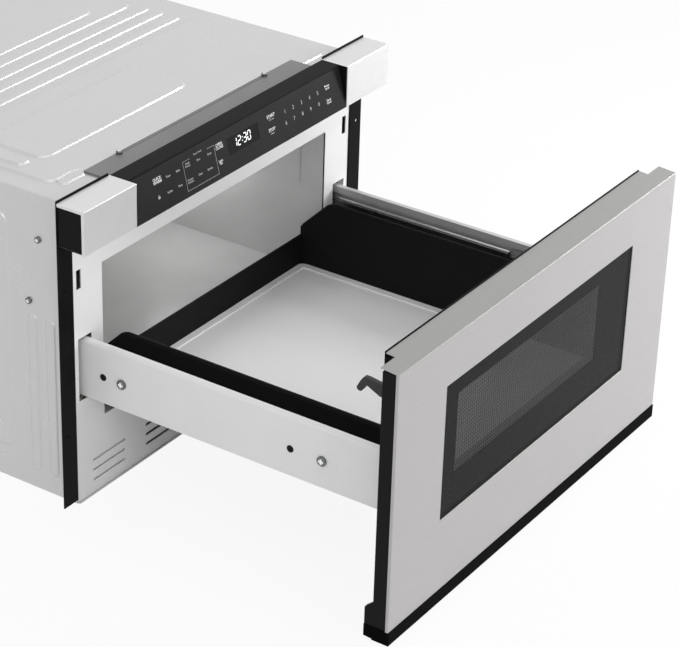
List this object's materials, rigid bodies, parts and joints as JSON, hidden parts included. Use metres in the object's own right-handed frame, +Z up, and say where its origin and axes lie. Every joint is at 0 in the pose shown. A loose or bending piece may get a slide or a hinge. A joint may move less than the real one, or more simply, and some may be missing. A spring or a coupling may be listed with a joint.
{
  "type": "microwave drawer",
  "caption": "Built-in microwave drawer: cabinet with oven cavity, sloped touch panel and a windowed drawer that rolls out on ball slides, driven by racks and gears.",
  "frame": {"origin": "on the platform that the base pan rests on, on the centre line, in the plane of the kitchen cabinet's face against which the mounting flange closes", "axes": "+X to the right seen from the front, +Y from the front to the back, +Z up; the drawer opens towards -Y and is fully open at rest"},
  "size_m": [0.606, 1.008, 0.403],
  "materials": {
    "case_steel": "satin zinc-grey coated sheet",
    "frame_white": "semi-gloss white paint",
    "black_paint": "satin black paint",
    "stainless": "fine horizontal brushing",
    "zinc_steel": "zinc plated",
    "bracket_grey": "satin grey",
    "cavity_enamel": "smooth grey enamel",
    "arm_paint": "light grey paint",
    "tub_black": "satin black, heat-proof",
    "trim_black": "satin black",
    "touch_black": "gloss dark grey",
    "display_black": "smoked, gloss",
    "door_glass": "dark tinted",
    "screen_steel": "perforated, dark",
    "plate_ceramic": "white glass ceramic",
    "nylon": "natural nylon",
    "brass": "bright",
    "mica": "microwave-clear cover",
    "board_green": "circuit board",
    "core_steel": "varnished laminations and windings",
    "lamp_ceramic": "lamp holder",
    "aluminium": "plain"
  },
  "bodies": {
    "cabinet": {"base_pan": "case_steel", "outer_case": "case_steel", "back_panel": "case_steel", "front_frame": "frame_white", "flange_left": "black_paint", "flange_right": "black_paint", "top_bracket": "bracket_grey", "case_screws": "zinc_steel", "cavity_liner": "cavity_enamel", "waveguide": "zinc_steel", "stirrer_cover": "mica", "magnetron": "aluminium", "stirrer_motor": "zinc_steel", "hv_transformer": "core_steel", "hv_capacitor": "aluminium", "fan_housing": "trim_black", "fan_motor": "zinc_steel", "control_housing": "trim_black", "touch_panel": "touch_black", "display_window": "display_black", "control_board": "board_green", "end_cap_left": "stainless", "end_cap_right": "stainless", "slide_cabinet_left": "zinc_steel", "slide_cabinet_right": "zinc_steel", "slide_brackets": "zinc_steel", "gear_brackets": "zinc_steel", "drive_gearbox": "trim_black", "drive_motor": "zinc_steel", "interlock_switches": "trim_black", "oven_lamp": "lamp_ceramic", "cord_inlet": "trim_black"},
    "drawer": {"door_skin": "stainless", "door_glass": "door_glass", "door_choke_frame": "black_paint", "door_screen": "screen_steel", "door_side_trims": "trim_black", "door_bottom_trim": "trim_black", "tub_wall_left": "tub_black", "tub_wall_right": "tub_black", "tub_rear_wall": "tub_black", "tub_floor": "tub_black", "ceramic_plate": "plate_ceramic", "arm_left": "arm_paint", "arm_right": "arm_paint", "drive_racks": "nylon", "slide_drawer_members": "zinc_steel", "arm_screws": "zinc_steel"},
    "slide_middles": {"slide_middle_left": "zinc_steel", "slide_middle_right": "zinc_steel"},
    "outer_cages": {"outer_ball_cages": "brass"},
    "inner_cages": {"inner_ball_cages": "brass"},
    "idlers": {"idler_gear_left": "nylon", "idler_gear_right": "nylon"},
    "cross_shaft": {"drive_shaft": "zinc_steel", "shaft_gears": "nylon"},
    "fan": {"fan_rotor": "nylon"},
    "stirrer": {"mode_stirrer": "aluminium"},
    "latch_left": {"latch_hook_left": "trim_black"},
    "latch_right": {"latch_hook_right": "trim_black"}
  },
  "joints": [
    {"name": "drawer_slide", "type": "slide", "parent": "cabinet", "child": "drawer", "axis": [0, 1, 0], "range_m": [0, 0.409]},
    {"name": "middle_slide", "type": "slide", "parent": "cabinet", "child": "slide_middles", "axis": [0, 1, 0], "range_m": [0, 0.2625]},
    {"name": "outer_cage_slide", "type": "slide", "parent": "cabinet", "child": "outer_cages", "axis": [0, 1, 0], "range_m": [0, 0.1315]},
    {"name": "inner_cage_slide", "type": "slide", "parent": "cabinet", "child": "inner_cages", "axis": [0, 1, 0], "range_m": [0, 0.336]},
    {"name": "idler_spin", "type": "hinge", "parent": "cabinet", "child": "idlers", "pos_m": [0, 0.031, 0.116], "axis": [1, 0, 0], "range_deg": [-980, 2]},
    {"name": "shaft_spin", "type": "hinge", "parent": "cabinet", "child": "cross_shaft", "pos_m": [0, 0.031, 0.077], "axis": [1, 0, 0], "range_deg": [-2, 1566]},
    {"name": "fan_spin", "type": "hinge", "parent": "cabinet", "child": "fan", "pos_m": [0.12, 0.54, 0.2], "axis": [0, 1, 0], "continuous": true},
    {"name": "stirrer_spin", "type": "hinge", "parent": "cabinet", "child": "stirrer", "pos_m": [0, 0.23, 0.3], "axis": [0, 0, 1], "continuous": true},
    {"name": "latch_left_pivot", "type": "hinge", "parent": "drawer", "child": "latch_left", "pos_m": [-0.266, -0.423, 0.291], "axis": [1, 0, 0], "range_deg": [0, 3], "stiffness_Nm_per_rad": 0.05, "springref_deg": -17.19},
    {"name": "latch_right_pivot", "type": "hinge", "parent": "drawer", "child": "latch_right", "pos_m": [0.266, -0.423, 0.291], "axis": [1, 0, 0], "range_deg": [0, 3], "stiffness_Nm_per_rad": 0.05, "springref_deg": -17.19}
  ],
  "couplings": [
    {"joint": "middle_slide", "follows": "drawer_slide", "ratio": 0.64},
    {"joint": "outer_cage_slide", "follows": "drawer_slide", "ratio": 0.32},
    {"joint": "inner_cage_slide", "follows": "drawer_slide", "ratio": 0.82},
    {"joint": "idler_spin", "follows": "drawer_slide", "rad_per_m": -41.667},
    {"joint": "shaft_spin", "follows": "drawer_slide", "rad_per_m": 66.667}
  ]
}
